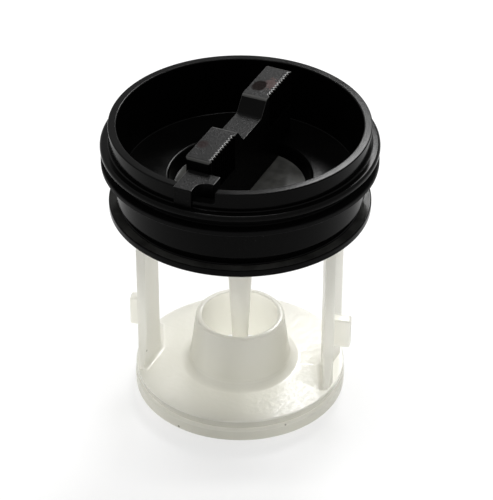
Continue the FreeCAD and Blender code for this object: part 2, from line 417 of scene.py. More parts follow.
def drift_to(tree, source, low, high, socket, span=(0.3, 0.7)):
    """Spreads a mask between two values on a socket; the usual span is where most of a noise lies."""
    spread = tree.nodes.new("ShaderNodeMapRange")
    spread.inputs["From Min"].default_value = span[0]
    spread.inputs["From Max"].default_value = span[1]
    spread.inputs["To Min"].default_value = low
    spread.inputs["To Max"].default_value = high
    chain(tree, (source, spread.inputs["Value"]), (spread.outputs["Result"], socket))


def blend_colour(tree, mask, below, above):
    """The colour socket of one colour laid over another by a mask; colours may be sockets or values."""
    mix = tree.nodes.new("ShaderNodeMix")
    mix.data_type = "RGBA"
    chain(tree, (mask, mix.inputs["Factor"]))
    colour_sockets = [socket for socket in mix.inputs if socket.type == "RGBA"]
    for socket, colour in zip(colour_sockets, (below, above)):
        if isinstance(colour, bpy.types.NodeSocket):
            chain(tree, (colour, socket))
        else:
            socket.default_value = colour
    return next(socket for socket in mix.outputs if socket.type == "RGBA")


def add_bump(tree, height, depth, socket, strength=1.0):
    """Bump of a depth in metres from a height, put on a normal socket."""
    bump = tree.nodes.new("ShaderNodeBump")
    bump.inputs["Strength"].default_value = strength
    bump.inputs["Distance"].default_value = depth
    chain(tree, (height, bump.inputs["Height"]), (bump.outputs["Normal"], socket))
    return bump


# Milky plastic: light spreads under its skin, and its gloss is broken by scuffs on the face of the disc
MILKY_WHITE = (0.86, 0.853, 0.810, 1.0)
MILKY_SHADE_PAINTED = (0.62, 0.61, 0.55, 1.0)
MILKY_SPREAD = 0.002
MILKY_IOR = 1.45
MILKY_DULL = 0.18
SCUFFS_PER_M = 650.0
SCUFF_DETAIL = 1.5
SCUFF_DEPTH = 0.00005
UNSCUFFED = 0.3
WHOLE_SPAN = (0.0, 1.0)
milky, milky_tree, milky_shader = new_finish("milky_plastic")
milky_shader.subsurface_method = "BURLEY"
milky_shader.inputs["Subsurface Weight"].default_value = 1.0
milky_shader.inputs["Subsurface Radius"].default_value = (1.0, 1.0, 1.0)
milky_shader.inputs["Subsurface Scale"].default_value = MILKY_SPREAD
milky_shader.inputs["Specular IOR Level"].default_value = 0.0
milky_shader.inputs["Coat Weight"].default_value = 1.0
milky_shader.inputs["Coat IOR"].default_value = MILKY_IOR
milky_shader.inputs["Coat Roughness"].default_value = MILKY_DULL
scuffs = add_group(milky_tree, grain, {"Grain per metre": SCUFFS_PER_M, "Detail": SCUFF_DETAIL})
scuff_bump = add_bump(milky_tree, scuffs.outputs["Height"], SCUFF_DEPTH, milky_shader.inputs["Normal"])
chain(milky_tree, (scuff_bump.outputs["Normal"], milky_shader.inputs["Coat Normal"]))
scuffed = face_share(milky_tree, "scuffed")
drift_to(milky_tree, scuffed, UNSCUFFED, 1.0, scuff_bump.inputs["Strength"], WHOLE_SPAN)

# Brown specks of dirt: one low on a leg, two on the foot ring
SPECKS = ((-0.01926, -0.01263, 0.00989), (-0.00447, -0.02531, 0.00064), (0.01971, -0.01649, 0.00292))
SPECK_R = 0.00019
SPECK_BROWN = (0.03, 0.02, 0.012, 1.0)
# Painted shade: faces that turn to the side, on the lip, groove, foot ring and hub, are coloured darker
painted_side_shade = face_share(milky_tree, "painted_side_shade")
milky_tone_shaded = blend_colour(milky_tree, painted_side_shade, MILKY_WHITE, MILKY_SHADE_PAINTED)
milky_tone = milky_tone_shaded
for centre in SPECKS:
    speck = add_group(milky_tree, spot, {"Centre": centre, "Radius": SPECK_R, "Softness": SPECK_R})
    milky_tone = blend_colour(milky_tree, speck.outputs["Mask"], milky_tone, SPECK_BROWN)
chain(milky_tree, (milky_tone, milky_shader.inputs["Base Color"]))

# Light comes through the thin walls from behind, and part of it goes straight on, so their shadows are pale
MILKY_THROUGH = 0.48
DEEP_THROUGH = 0.12
MILKY_PASS = 0.75
DEEP_PASS = 0.2
DEEP_SPAN = (0.4, 1.0)
MILKY_TINT = (1.0, 1.0, 0.97, 1.0)
milky_rays = milky_tree.nodes.new("ShaderNodeLightPath")
milky_share = milky_tree.nodes.new("ShaderNodeMath")
milky_share.operation = "MULTIPLY"
milky_back = milky_tree.nodes.new("ShaderNodeBsdfTranslucent")
milky_body = milky_tree.nodes.new("ShaderNodeMixShader")
drift_to(milky_tree, painted_side_shade, MILKY_THROUGH, DEEP_THROUGH, milky_body.inputs["Fac"], WHOLE_SPAN)
drift_to(milky_tree, painted_side_shade, MILKY_PASS, DEEP_PASS, milky_share.inputs[1], DEEP_SPAN)
milky_clear = milky_tree.nodes.new("ShaderNodeBsdfTransparent")
milky_clear.inputs["Color"].default_value = MILKY_TINT
milky_mix = milky_tree.nodes.new("ShaderNodeMixShader")
chain(
    milky_tree,
    (milky_rays.outputs["Is Shadow Ray"], milky_share.inputs[0]),
    (milky_share.outputs["Value"], milky_mix.inputs["Fac"]),
    (milky_shader.outputs["BSDF"], milky_body.inputs[1]),
    (milky_tone_shaded, milky_back.inputs["Color"]),
    (milky_back.outputs["BSDF"], milky_body.inputs[2]),
    (milky_body.outputs["Shader"], milky_mix.inputs[1]),
    (milky_clear.outputs["BSDF"], milky_mix.inputs[2]),
    (milky_mix.outputs["Shader"], milky_tree.nodes["Material Output"].inputs["Surface"]),
)

hub_in = HUB_TOP_R - HUB_WALL
hub_foot_in = HUB_FOOT_R - HUB_WALL
disc_low = DISC_Z - DISC_T
plate_z = cage_top - PLATE_T
foot = turned([
    (hub_foot_in, disc_low, 0.0),
    (FOOT_R - FOOT_WALL, disc_low, EDGE),
    (FOOT_R - FOOT_WALL, 0.0, EDGE),
    (FOOT_R, 0.0, EDGE),
    (FOOT_R, FOOT_H, SOFT_EDGE),
    (GROOVE_R, FOOT_H + SHOULDER_H, FINE_EDGE),
    (GROOVE_R, DISC_Z - DISC_LIP, FINE_EDGE),
    (DISC_R, DISC_Z - DISC_LIP, FINE_EDGE),
    (DISC_R, DISC_Z, EDGE),
    (HUB_FOOT_R, DISC_Z, HUB_FILLET),
    (HUB_TOP_R, HUB_Z, SOFT_EDGE),
    (hub_in, HUB_Z, EDGE),
], milky)

# Shares of painted shade on the faces, told apart by how far their normals point up
HUB_SHARE = 0.35
FOOT_SHARE = 0.3
HUB_FADE = 0.5
HUB_FADE_END = 0.7
EDGE_ZONE = 1.0
STEEP = 0.3
LEVEL = 0.99


def from_the_side(face):
    """Painted shade on lip, groove, foot ring and hub, whose faces turn sideways: a darker colour, and less
    light let through, as through more of the plastic than the thin faces.
    """
    if face.normal.x * face.center.x + face.normal.y * face.center.y <= 0:
        return 0.0
    if math.hypot(face.center.x, face.center.y) < GROOVE_R - EDGE_ZONE:
        return HUB_SHARE * min(max((HUB_FADE_END - face.normal.z) / HUB_FADE, 0.0), 1.0)
    if face.normal.z > STEEP:
        return 0.0
    return FOOT_SHARE if face.center.z < FOOT_H else 1.0


def disc_face(face):
    """The disc's upper face is scuffed, so its gloss breaks up."""
    return 1.0 if face.normal.z > LEVEL and face.center.z < HUB_Z / 2 else 0.0


with_share(foot, "painted_side_shade", from_the_side)
with_share(foot, "scuffed", disc_face)
step_share = (STEM_STEP_Z - STEM_TIP_Z) / (plate_z - STEM_TIP_Z)
step_r = STEM_TIP_R + (STEM_ROOT_R - STEM_TIP_R) * step_share
plate = turned([
    (0.0, STEM_TIP_Z, 0.0),
    (STEM_TIP_R, STEM_TIP_Z, EDGE),
    (step_r - STEM_STEP, STEM_STEP_Z, 0.0),
    (step_r, STEM_STEP_Z, 0.0),
    (STEM_ROOT_R, plate_z, STEM_FILLET),
    (PLATE_R, plate_z, FINE_EDGE),
    (PLATE_R, cage_top, EDGE),
    (0.0, cage_top, 0.0),
], milky)


def flare(width, height, above):
    """How far a foot flare stands out from its face at a height above the disc."""
    if above >= height:
        return 0.0
    radius = (width ** 2 + height ** 2) / (2 * width)
    return radius - math.sqrt(radius ** 2 - (height - max(above, 0.0)) ** 2)


def rounded(corners, steps=5):
    """Points of a flat outline from (x, y, rounding) corners."""
    points = []
    for i, (x, y, rounding) in enumerate(corners):
        here = Vector((x, y))
        back = (Vector(corners[i - 1][:2]) - here).normalized()
        ahead = (Vector(corners[(i + 1) % len(corners)][:2]) - here).normalized()
        if not rounding:
            points.append(here)
            continue
        half = back.angle(ahead) / 2
        centre = here + (back + ahead).normalized() * (rounding / math.sin(half))
        start = here + back * (rounding / math.tan(half)) - centre
        end = here + ahead * (rounding / math.tan(half)) - centre
        for step in range(steps + 1):
            points.append(centre + start.slerp(end, step / steps).normalized() * rounding)
    return points


# One leg about the X axis: two flanges that slope from the inner apex out to the leg's cylinder
apex_r = LEG_R - LEG_DEEP
slope = math.radians(LEG_SLOPE)
flange_far = apex_r * math.cos(slope) + LEG_WALL
hollow_r = flange_far / math.cos(slope)
tip = around(LEG_R, math.degrees(math.acos(flange_far / LEG_R)) - LEG_SLOPE)
across = around(1.0, -LEG_SLOPE)
along = around(1.0, 90 - LEG_SLOPE)


def leg_ring(z):
    """The leg's outline at one level, its ends flared and its inner faces filleted into the disc."""
    toe = flare(LEG_FILLET, LEG_FILLET, z - DISC_Z)
    inner = tip - across * (LEG_WALL + toe) + along * flare(FLARE_W, FLARE_H, z - DISC_Z)
    facing = inner.dot(across)
    outer = inner + across * (math.sqrt(facing ** 2 - inner.length_squared + LEG_R ** 2) - facing)
    flank = [(inner, LEG_EDGE), (outer, LEG_EDGE), (tip - along * LEG_LAND, 0.0)]
    corners = [(apex_r - toe / math.cos(slope), 0.0, APEX_ROUND)]
    corners += [(p.x, p.y, rounding) for p, rounding in flank]
    corners.append((hollow_r, 0.0, APEX_ROUND))
    corners += [(p.x, -p.y, rounding) for p, rounding in reversed(flank)]
    return [Vector((p.x, p.y, z)) for p in rounded(corners, LEG_STEPS)]


leg_foot = DISC_Z - DISC_T / 2
leg_levels = [leg_foot] + [DISC_Z + FLARE_H * (i / FLARE_STEPS) ** 2 for i in range(FLARE_STEPS + 1)]
leg_levels.append(plate_z + PLATE_T / 2)
leg = loft([leg_ring(z) for z in leg_levels])
leg.transform(Matrix.Rotation(math.radians(LEG_AT), 4, "Z"))
legs = face_outwards(run_tree(ring_of, leg, {"copies": 2, "finish": milky}))


def block_mesh(low, high):
    """An upright box between two corners."""
    corners = [(low[0], low[1]), (high[0], low[1]), (high[0], high[1]), (low[0], high[1])]
    return loft([[Vector((x, y, z)) for x, y in corners] for z in (low[2], high[2])])


lug = block_mesh((apex_r + LEG_WALL / 2, -LUG_W / 2, LUG_Z), (LEG_R + LUG_OUT, LUG_W / 2, LUG_Z + LUG_H))
lug = eased(lug, LUG_EDGE, steps=4)
lug.transform(Matrix.Rotation(math.radians(LEG_AT), 4, "Z"))
lugs = face_outwards(run_tree(ring_of, lug, {"copies": 2, "finish": milky}))

skirt_r = PLATE_R + PLATE_CLEAR
notch = block_mesh(
    (skirt_r - KEY_D - KEY_CLEAR, -KEY_W / 2 - KEY_CLEAR, plate_z - CUT_SPARE),
    (skirt_r + CUT_SPARE, KEY_W / 2 + KEY_CLEAR, cage_top + CUT_SPARE),
)
notch.transform(Matrix.Rotation(math.radians(LEG_AT + 90), 4, "Z"))
notches = face_outwards(run_tree(ring_of, notch, {"copies": 2, "finish": milky}))
plate = merged(plate, cut=[notches])
show("cage_moulding", merged(foot, added=[plate, legs, lugs]), milky, "cage")

# Cap: one black moulding, an open cup with a thick rim, a flange, a smooth neck band and a guide
# flange outside, and a handle bar across the cup with two serrated finger pads and a low saddle.
# It is injection moulded in black plastic with a satin grain, and the cage snaps into its skirt.
PAD_RISE = 2.4
pad_top = cap_high.z / MM
rim_top = pad_top - PAD_RISE
flange_r = cap_high.x / MM
seal_low, seal_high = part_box("seal")
seat_z = seal_low.z / MM
flange_z = seal_high.z / MM
FLANGE_T = 1.35
RIM_R = 30.43
CUP_R = 28.5
CUP_FLOOR_R = 27.4
CUP_Z = 59.3
WELL_R = 16.75
WELL_FLOOR_R = 15.5
WELL_Z = 56.4
FLOOR_T = 1.8
SEAT_R = 28.95
BAND_R = 29.2
BAND_Z = 55.2
NECK_R = 28.2
GUIDE_R = 30.8
GUIDE_Z = 53.3
SNAP_R = 25.35
SNAP_Z = 52.7
SNAP_TOP = 0.25
SNAP_SLOPE = 0.45
BAR_W = 6.3
BAR_HALF = 22.3
PAD_IN = 8.0
SADDLE_DROP = 3.6
SADDLE_HALF = 4.9
BAR_EDGE = 0.8
PAD_EDGE = 1.3
BAR_EASE = 0.42
TEETH = 11
TOOTH_PITCH = 1.1
TOOTH_D = 0.55
TOOTH_H = 9.0
TOOTH_END = 1.3
BLOCK_LEFT = 1.85
BLOCK_RIGHT = 2.5
BLOCK_Y = -30.93
BLOCK_IN = 7.9
EAR_W = 3.5
EAR_BACK = 4.3
EAR_ROUND = 2.4
SLOT_W = 1.7
SLOT_D = 2.9
BLOCK_EASE = 0.12
BLOCK_PROUD = 0.02
WALL_BITE = 0.3
KEY_BITE = 1.0
PLAN_SPARE = 0.02
CREST = 0.08
NOTCH_OUT = 0.6
TOOTH_EASE = 0.3
EASE_STEPS = 4
SHORT_TOP = 0.55

# Black plastic, faintly worn, with the rounded edges of the bar polished by fingers and coloured lighter as
# a painted highlight
CAP_BLACK = (0.0011, 0.0011, 0.0011, 1.0)
CAP_WORN = (0.0018, 0.0018, 0.0017, 1.0)
CAP_HIGHLIGHT_PAINTED = (0.030, 0.030, 0.028, 1.0)
CAP_GLOSS = 0.045
CAP_GRAIN_PER_M = 2600.0
CAP_DRIFT_PER_M = 160.0
EDGE_POLISH = 0.4
EDGE_POLISH_DULL = 0.30
black, black_tree, black_shader = new_finish("black_plastic")
black_shader.inputs["Specular IOR Level"].default_value = CAP_GLOSS
black_shader.inputs["Coat Roughness"].default_value = EDGE_POLISH_DULL
black_grain = add_group(black_tree, grain, {
    "Grain per metre": CAP_GRAIN_PER_M, "Drift per metre": CAP_DRIFT_PER_M,
})
worn_and_highlit = face_share(black_tree, "worn_and_highlit")
drift_to(black_tree, worn_and_highlit, 0.0, EDGE_POLISH, black_shader.inputs["Coat Weight"], WHOLE_SPAN)
black_tone = blend_colour(black_tree, black_grain.outputs["Drift"], CAP_BLACK, CAP_WORN)
# Painted highlight: the rounded upper edges of the bar and block are coloured lighter
black_tone = blend_colour(black_tree, worn_and_highlit, black_tone, CAP_HIGHLIGHT_PAINTED)

# A mottled film of dried residue where water has stood
RESIDUE = (0.065, 0.065, 0.061, 1.0)
FILM_THIN = 0.45
FILM_SPAN = (0.38, 0.64)
film = black_tree.nodes.new("ShaderNodeMath")
film.operation = "MULTIPLY"
drift_to(black_tree, black_grain.outputs["Drift"], FILM_THIN, 1.0, film.inputs[1], FILM_SPAN)
chain(black_tree, (face_share(black_tree, "dusty"), film.inputs[0]))
black_tone = blend_colour(black_tree, film.outputs["Value"], black_tone, RESIDUE)

# Old stains on the finger pads: reddish specks, a dull brown oval beside them and a faint reddish mark,
# each with its place across and along the bar, squeeze, radius, softness, raggedness and colour
STAINS = (
    (0.0010, 0.0146, 0.65, 0.0033, 0.0006, 0.0042, (0.0330, 0.0150, 0.0135, 1.0)),
    (-0.0010, 0.0128, 0.70, 0.0018, 0.0004, 0.0008, (0.0060, 0.0038, 0.0034, 1.0)),
    (-0.0018, -0.0158, 0.75, 0.0013, 0.0006, 0.0008, (0.0090, 0.0042, 0.0040, 1.0)),
)
stain_masks = []
for stain_x, stain_y, squeeze, radius, softness, ragged, colour in STAINS:
    stain = add_group(black_tree, spot, {
        "Centre": (stain_x, stain_y, cap_high.z), "Stretch": (1.0, squeeze, 1.0),
        "Radius": radius, "Softness": softness, "Ragged": ragged,
    })
    black_tone = blend_colour(black_tree, stain.outputs["Mask"], black_tone, colour)
    stain_masks.append(stain.outputs["Mask"])
chain(black_tree, (black_tone, black_shader.inputs["Base Color"]))
brown_oval, faint_mark = stain_masks[1:]

# Bar and block keep the mould's grain, the turned faces are smoother, and the stains are dull
SHELL_SMOOTH = 0.11
SHELL_DULL = 0.17
BAR_DULL = 0.24
BAR_SPARKLE = 0.14
BAR_GRAIN = 0.88
SHELL_GRAIN = 0.12
GRAIN_DEPTH = 0.00006
WAVE_DEPTH = 0.000012
EDGE_DULL = 0.16
STAIN_DULL = 0.5
FAINT = 0.45
grained = face_share(black_tree, "grained")


def scaled_sum(tree, value, share, rest):
    """The socket of value times share plus rest; each may be a socket or a number."""
    total = tree.nodes.new("ShaderNodeMath")
    total.operation = "MULTIPLY_ADD"
    for socket, part in zip(total.inputs, (value, share, rest)):
        if isinstance(part, bpy.types.NodeSocket):
            chain(tree, (part, socket))
        else:
            socket.default_value = part
    return total.outputs["Value"]


bar_rough = black_tree.nodes.new("ShaderNodeMath")
bar_rough.operation = "MULTIPLY_ADD"
chain(black_tree, (grained, bar_rough.inputs[0]))
bar_dullest = BAR_DULL + BAR_SPARKLE
bar_brightest = BAR_DULL - BAR_SPARKLE
drift_to(black_tree, black_grain.outputs["Height"], bar_dullest, bar_brightest, bar_rough.inputs[1])
drift_to(black_tree, black_grain.outputs["Drift"], SHELL_SMOOTH, SHELL_DULL, bar_rough.inputs[2])
black_rough = scaled_sum(black_tree, worn_and_highlit, EDGE_DULL, bar_rough.outputs["Value"])
stained = scaled_sum(black_tree, faint_mark, FAINT, brown_oval)
black_rough = scaled_sum(black_tree, stained, STAIN_DULL, black_rough)
chain(black_tree, (black_rough, black_shader.inputs["Roughness"]))
fine_bump = add_bump(black_tree, black_grain.outputs["Height"], GRAIN_DEPTH, black_shader.inputs["Normal"])
chain(black_tree, (scaled_sum(black_tree, grained, BAR_GRAIN, SHELL_GRAIN), fine_bump.inputs["Strength"]))
add_bump(black_tree, black_grain.outputs["Drift"], WAVE_DEPTH, fine_bump.inputs["Normal"])

# Shares of the faces, told apart by where they lie and how their normals point
CUP_GRAIN = 0.2
NEAR = 1.0
SAME_LEVEL = 0.1
FLAT = 0.985
UPRIGHT = 0.1
SIDEWAYS = 0.2


def cup_floor(face):
    """A little of the grain on faces that look up from the bottom of the cup."""
    return CUP_GRAIN if face.normal.z > LEVEL and WELL_Z - NEAR < face.center.z < CUP_Z + NEAR else 0.0


def wetted(face):
    """The film lies where water stands, on the bottom of the well and on the guide flange."""
    return 1.0 if face.normal.z > LEVEL and face.center.z < WELL_Z + SAME_LEVEL else 0.0


def unworn(face):
    """All the grain on the flat faces of the bar; its rounded edges are worn smooth."""
    return 1.0 if max(abs(part) for part in face.normal) > FLAT else 0.0


def moulded(face):
    """All the grain on the flat top and the upright faces of the block, round its ear too."""
    return 1.0 if face.normal.z > FLAT or abs(face.normal.z) < UPRIGHT else 0.0


def handled(face):
    """Wear and a painted highlight on the rounded upper edges, where fingers turn the cap."""
    upper = STEEP < face.normal.z < FLAT
    return 1.0 if upper and (abs(face.normal.x) > SIDEWAYS or face.center.z > pad_top - NEAR) else 0.0


rim_foot = flange_z + FLANGE_T
cup_low = CUP_Z - FLOOR_T
shell = turned([
    (0.0, cage_top, 0.0),
    (WELL_FLOOR_R + FLOOR_T, cage_top, 0.0),
    (WELL_R + FLOOR_T, cup_low, EDGE),
    (skirt_r, cup_low, EDGE),
    (skirt_r, SNAP_Z, 0.0),
    (SNAP_R, SNAP_Z - SNAP_TOP, 0.0),
    (SNAP_R, cap_foot + SNAP_SLOPE, 0.0),
    (SNAP_R + SNAP_SLOPE, cap_foot, 0.0),
    (GUIDE_R, cap_foot, EDGE),
    (GUIDE_R, GUIDE_Z, EDGE),
    (NECK_R, GUIDE_Z, EDGE),
    (NECK_R, BAND_Z, EDGE),
    (BAND_R, BAND_Z, SOFT_EDGE),
    (BAND_R, seat_z, FINE_EDGE),
    (SEAT_R, seat_z, 0.0),
    (SEAT_R, flange_z, 0.0),
    (flange_r, flange_z, EDGE),
    (flange_r, rim_foot, SOFT_EDGE),
    (RIM_R, rim_foot, EDGE),
    (RIM_R, rim_top, EDGE),
    (CUP_R, rim_top, EDGE),
    (CUP_FLOOR_R, CUP_Z, EDGE),
    (WELL_R, CUP_Z, SOFT_EDGE),
    (WELL_FLOOR_R, WELL_Z, EDGE),
    (0.0, WELL_Z, 0.0),
], black)
with_share(shell, "grained", cup_floor)
with_share(shell, "dusty", wetted)


def slab(corners, low, high):
    """An upright prism from (x, y, rounding) corners."""
    points = rounded(corners)
    return loft([[Vector((p.x, p.y, z)) for p in points] for z in (low, high)])


# Rim block with its ear, standing on the flange outside and on the cup floor inside
ear_x = BLOCK_RIGHT + EAR_W
block_corners = [
    (-BLOCK_LEFT, BLOCK_Y + BLOCK_IN, EDGE),
    (-BLOCK_LEFT, BLOCK_Y, FINE_EDGE),
    (BLOCK_RIGHT, BLOCK_Y, FINE_EDGE),
    (BLOCK_RIGHT, BLOCK_Y + EAR_BACK, EAR_ROUND),
    (ear_x, BLOCK_Y + EAR_BACK, EDGE),
    (ear_x, BLOCK_Y + BLOCK_IN, EDGE),
]
block = slab(block_corners, rim_foot - FLANGE_T / 2, rim_top + BLOCK_PROUD)
block = eased(block, BLOCK_EASE)
column_corners = [
    (-BLOCK_LEFT, BLOCK_Y + BLOCK_IN, EDGE),
    (-BLOCK_LEFT, -CUP_R, 0.0),
    (ear_x, -CUP_R + WALL_BITE, 0.0),
    (ear_x, BLOCK_Y + BLOCK_IN, EDGE),
]
column = slab(column_corners, CUP_Z - FLOOR_T / 2, rim_foot)
slot_in = -RIM_R / 2
slot = block_mesh(
    (BLOCK_RIGHT, slot_in - RIM_R, rim_top - SLOT_D),
    (ear_x + SLOT_W, slot_in, rim_top + CUT_SPARE),
)

# Handle bar from its side outline, then the plan that rounds its ends
saddle_z = pad_top - SADDLE_DROP
bar_low = WELL_Z - FLOOR_T / 2
bar_step = cup_low + FLOOR_T / 2
side = rounded([
    (-BAR_HALF, bar_step, 0.0),
    (-BAR_HALF, pad_top, BAR_EDGE),
    (-PAD_IN, pad_top, PAD_EDGE),
    (-SADDLE_HALF, saddle_z, BAR_EDGE),
    (SADDLE_HALF, saddle_z, BAR_EDGE),
    (PAD_IN, pad_top, PAD_EDGE),
    (BAR_HALF, pad_top, BAR_EDGE),
    (BAR_HALF, bar_step, 0.0),
    (WELL_FLOOR_R, bar_step, 0.0),
    (WELL_FLOOR_R, bar_low, 0.0),
    (-WELL_FLOOR_R, bar_low, 0.0),
    (-WELL_FLOOR_R, bar_step, 0.0),
])
bar = loft([[Vector((x, p.x, p.y)) for p in side] for x in (-BAR_W, BAR_W)])
plan_half = BAR_HALF + PLAN_SPARE
plan = slab([
    (-BAR_W / 2, -plan_half, BAR_EDGE),
    (BAR_W / 2, -plan_half, BAR_EDGE),
    (BAR_W / 2, plan_half, BAR_EDGE),
    (-BAR_W / 2, plan_half, BAR_EDGE),
], bar_low - CUT_SPARE, pad_top + CUT_SPARE)
bar = eased(merged(bar, kept=[plan]), BAR_EASE)

# Node tree for a straight row of copies of a form
row_of = new_tree(
    "row_of_copies", "GeometryNodeTree",
    {
        "form": ("Geometry", None), "copies": ("Int", 2), "first": ("Float", 0.0), "pitch": ("Float", 1.0),
        "finish": ("Material", None),
    },
    {"copies": ("Geometry", None)},
)
row_in = row_of.nodes.new("NodeGroupInput")
row_out = row_of.nodes.new("NodeGroupOutput")
row_start = row_of.nodes.new("ShaderNodeCombineXYZ")
row_step = row_of.nodes.new("ShaderNodeCombineXYZ")
row_points = row_of.nodes.new("GeometryNodeMeshLine")
row_place = row_of.nodes.new("GeometryNodeInstanceOnPoints")
row_real = row_of.nodes.new("GeometryNodeRealizeInstances")
row_finish = row_of.nodes.new("GeometryNodeSetMaterial")
chain(
    row_of,
    (row_in.outputs["first"], row_start.inputs["Y"]),
    (row_in.outputs["pitch"], row_step.inputs["Y"]),
    (row_in.outputs["copies"], row_points.inputs["Count"]),
    (row_start.outputs["Vector"], row_points.inputs["Start Location"]),
    (row_step.outputs["Vector"], row_points.inputs["Offset"]),
    (row_points.outputs["Mesh"], row_place.inputs["Points"]),
    (row_in.outputs["form"], row_place.inputs["Instance"]),
    (row_place.outputs["Instances"], row_real.inputs["Geometry"]),
    (row_real.outputs["Geometry"], row_finish.inputs["Geometry"]),
    (row_in.outputs["finish"], row_finish.inputs["Material"]),
    (row_finish.outputs["Geometry"], row_out.inputs["copies"]),
)

# V notches down both flanks of both pads, every other one cut at a time: on the right they open out at
# the top, so that the teeth end in rounded tips, and on the left they stop short of the rounded edge
first_notch = BAR_HALF - TOOTH_END
flank_x = BAR_W / 2
notch_half = (TOOTH_PITCH - CREST) / 2
notch_lean = math.atan2(notch_half, TOOTH_D)


def vee_ring(z):
    """The notch's outline at one level, wider and deeper where it runs out over the pad's edge."""
    rise = min(max(z - pad_top + TOOTH_EASE, 0.0), TOOTH_EASE)
    spread = TOOTH_EASE - math.sqrt(TOOTH_EASE ** 2 - rise ** 2)
    half = notch_half + spread / math.cos(notch_lean)
    corners = [
        (flank_x - TOOTH_D - spread / math.sin(notch_lean), 0.0),
        (flank_x, -half),
        (flank_x + NOTCH_OUT, -half),
        (flank_x + NOTCH_OUT, half),
        (flank_x, half),
    ]
    return [Vector((x, y, z)) for x, y in corners]


vee_levels = [pad_top - TOOTH_H]
for i in range(EASE_STEPS + 1):
    vee_levels.append(pad_top - TOOTH_EASE + TOOTH_EASE * math.sin(math.pi / 2 * i / EASE_STEPS))
vee_levels.append(pad_top + CUT_SPARE)
open_vee = loft([vee_ring(z) for z in vee_levels])
short_vee = loft([vee_ring(z) for z in (pad_top - TOOTH_H, pad_top - SHORT_TOP)])
notch_rows = []
for vee, turn in ((open_vee, 0), (short_vee, 180)):
    for facing in (1, -1):
        for start in (0, 1):
            first = facing * (first_notch - start * TOOTH_PITCH)
            count = (TEETH + 1 - start) // 2
            values = {"copies": count, "first": first, "pitch": -2 * facing * TOOTH_PITCH, "finish": black}
            row = run_tree(row_of, vee, values)
            row.transform(Matrix.Rotation(math.radians(turn), 4, "Z"))
            notch_rows.append(face_outwards(row))
bar = merged(bar, cut=notch_rows)

# Nicks knocked into the rim: angle, distance from the axis, length along the rim and depth
NICKS = ((46.6, 30.35, 1.1, 0.22), (14.4, 30.4, 0.8, 0.2), (92.8, 29.2, 0.7, 0.16), (-53.5, 30.3, 0.5, 0.14))
nicks = []
for angle, radius, length, depth in NICKS:
    spread = [(depth, 0, 0), (0, length / 2, 0), (-depth, 0, 0), (0, -length / 2, 0)]
    tool = bpy.data.meshes.new("nick")
    points = [(0, 0, -depth)] + spread + [(0, 0, depth)]
    faces = [(0, 2, 1), (0, 3, 2), (0, 4, 3), (0, 1, 4), (5, 1, 2), (5, 2, 3), (5, 3, 4), (5, 4, 1)]
    tool.from_pydata(points, [], faces)
    tool.transform(Matrix.Rotation(math.radians(angle), 4, "Z") @ Matrix.Translation((radius, 0, rim_top)))
    nicks.append(face_outwards(tool))

# Two keys inside the skirt that hold the cage's plate from turning
rib = block_mesh(
    (skirt_r - KEY_D, -KEY_W / 2, plate_z),
    (skirt_r + KEY_BITE, KEY_W / 2, cup_low + FLOOR_T / 2),
)
rib.transform(Matrix.Rotation(math.radians(LEG_AT + 90), 4, "Z"))
ribs = face_outwards(run_tree(ring_of, rib, {"copies": 2, "finish": black}))
for form, grain_rule in ((block, moulded), (column, moulded), (bar, unworn)):
    with_share(form, "grained", grain_rule)
    with_share(form, "worn_and_highlit", handled)
cap = merged(shell, cut=[slot, *nicks], added=[block, column, bar, ribs])
show("cap_moulding", cap, black, "cap")

# Seal: a black rubber ring of L section, stretched on to the cap's neck right under the flange.
# It is moulded in soft rubber, duller than the plastic, and its thin lip closes the housing's bore.
LIP_T = 1.3
SEAL_WALL = 1.0
lip_r = seal_high.x / MM
RUBBER_BLACK = (0.0016, 0.0016, 0.0017, 1.0)
RUBBER_BLOOM = (0.0032, 0.0032, 0.0032, 1.0)
RUBBER_GLOSS = 0.045
RUBBER_GRAIN_PER_M = 6500.0
RUBBER_DRIFT_PER_M = 220.0
RUBBER_SMOOTH = 0.42
RUBBER_DULL = 0.58
RUBBER_DEPTH = 0.00005
RUBBER_SOFT = 0.3
rubber, rubber_tree, rubber_shader = new_finish("black_rubber")
rubber_shader.inputs["Specular IOR Level"].default_value = RUBBER_GLOSS
rubber_grain = add_group(rubber_tree, grain, {
    "Grain per metre": RUBBER_GRAIN_PER_M, "Drift per metre": RUBBER_DRIFT_PER_M,
})
bloom = rubber_grain.outputs["Drift"]
rubber_tone = blend_colour(rubber_tree, bloom, RUBBER_BLACK, RUBBER_BLOOM)
chain(rubber_tree, (rubber_tone, rubber_shader.inputs["Base Color"]))
drift_to(rubber_tree, bloom, RUBBER_SMOOTH, RUBBER_DULL, rubber_shader.inputs["Roughness"])
rubber_height = rubber_grain.outputs["Height"]
add_bump(rubber_tree, rubber_height, RUBBER_DEPTH, rubber_shader.inputs["Normal"], RUBBER_SOFT)
ring = turned([
    (SEAT_R, seat_z, 0.0),
    (lip_r, seat_z, EDGE),
    (lip_r, seat_z + LIP_T, EDGE),
    (SEAT_R + SEAL_WALL, seat_z + LIP_T, EDGE),
    (SEAT_R + SEAL_WALL, flange_z, FINE_EDGE),
    (SEAT_R, flange_z, 0.0),
], rubber)
show("lip_seal", ring, rubber, "seal")

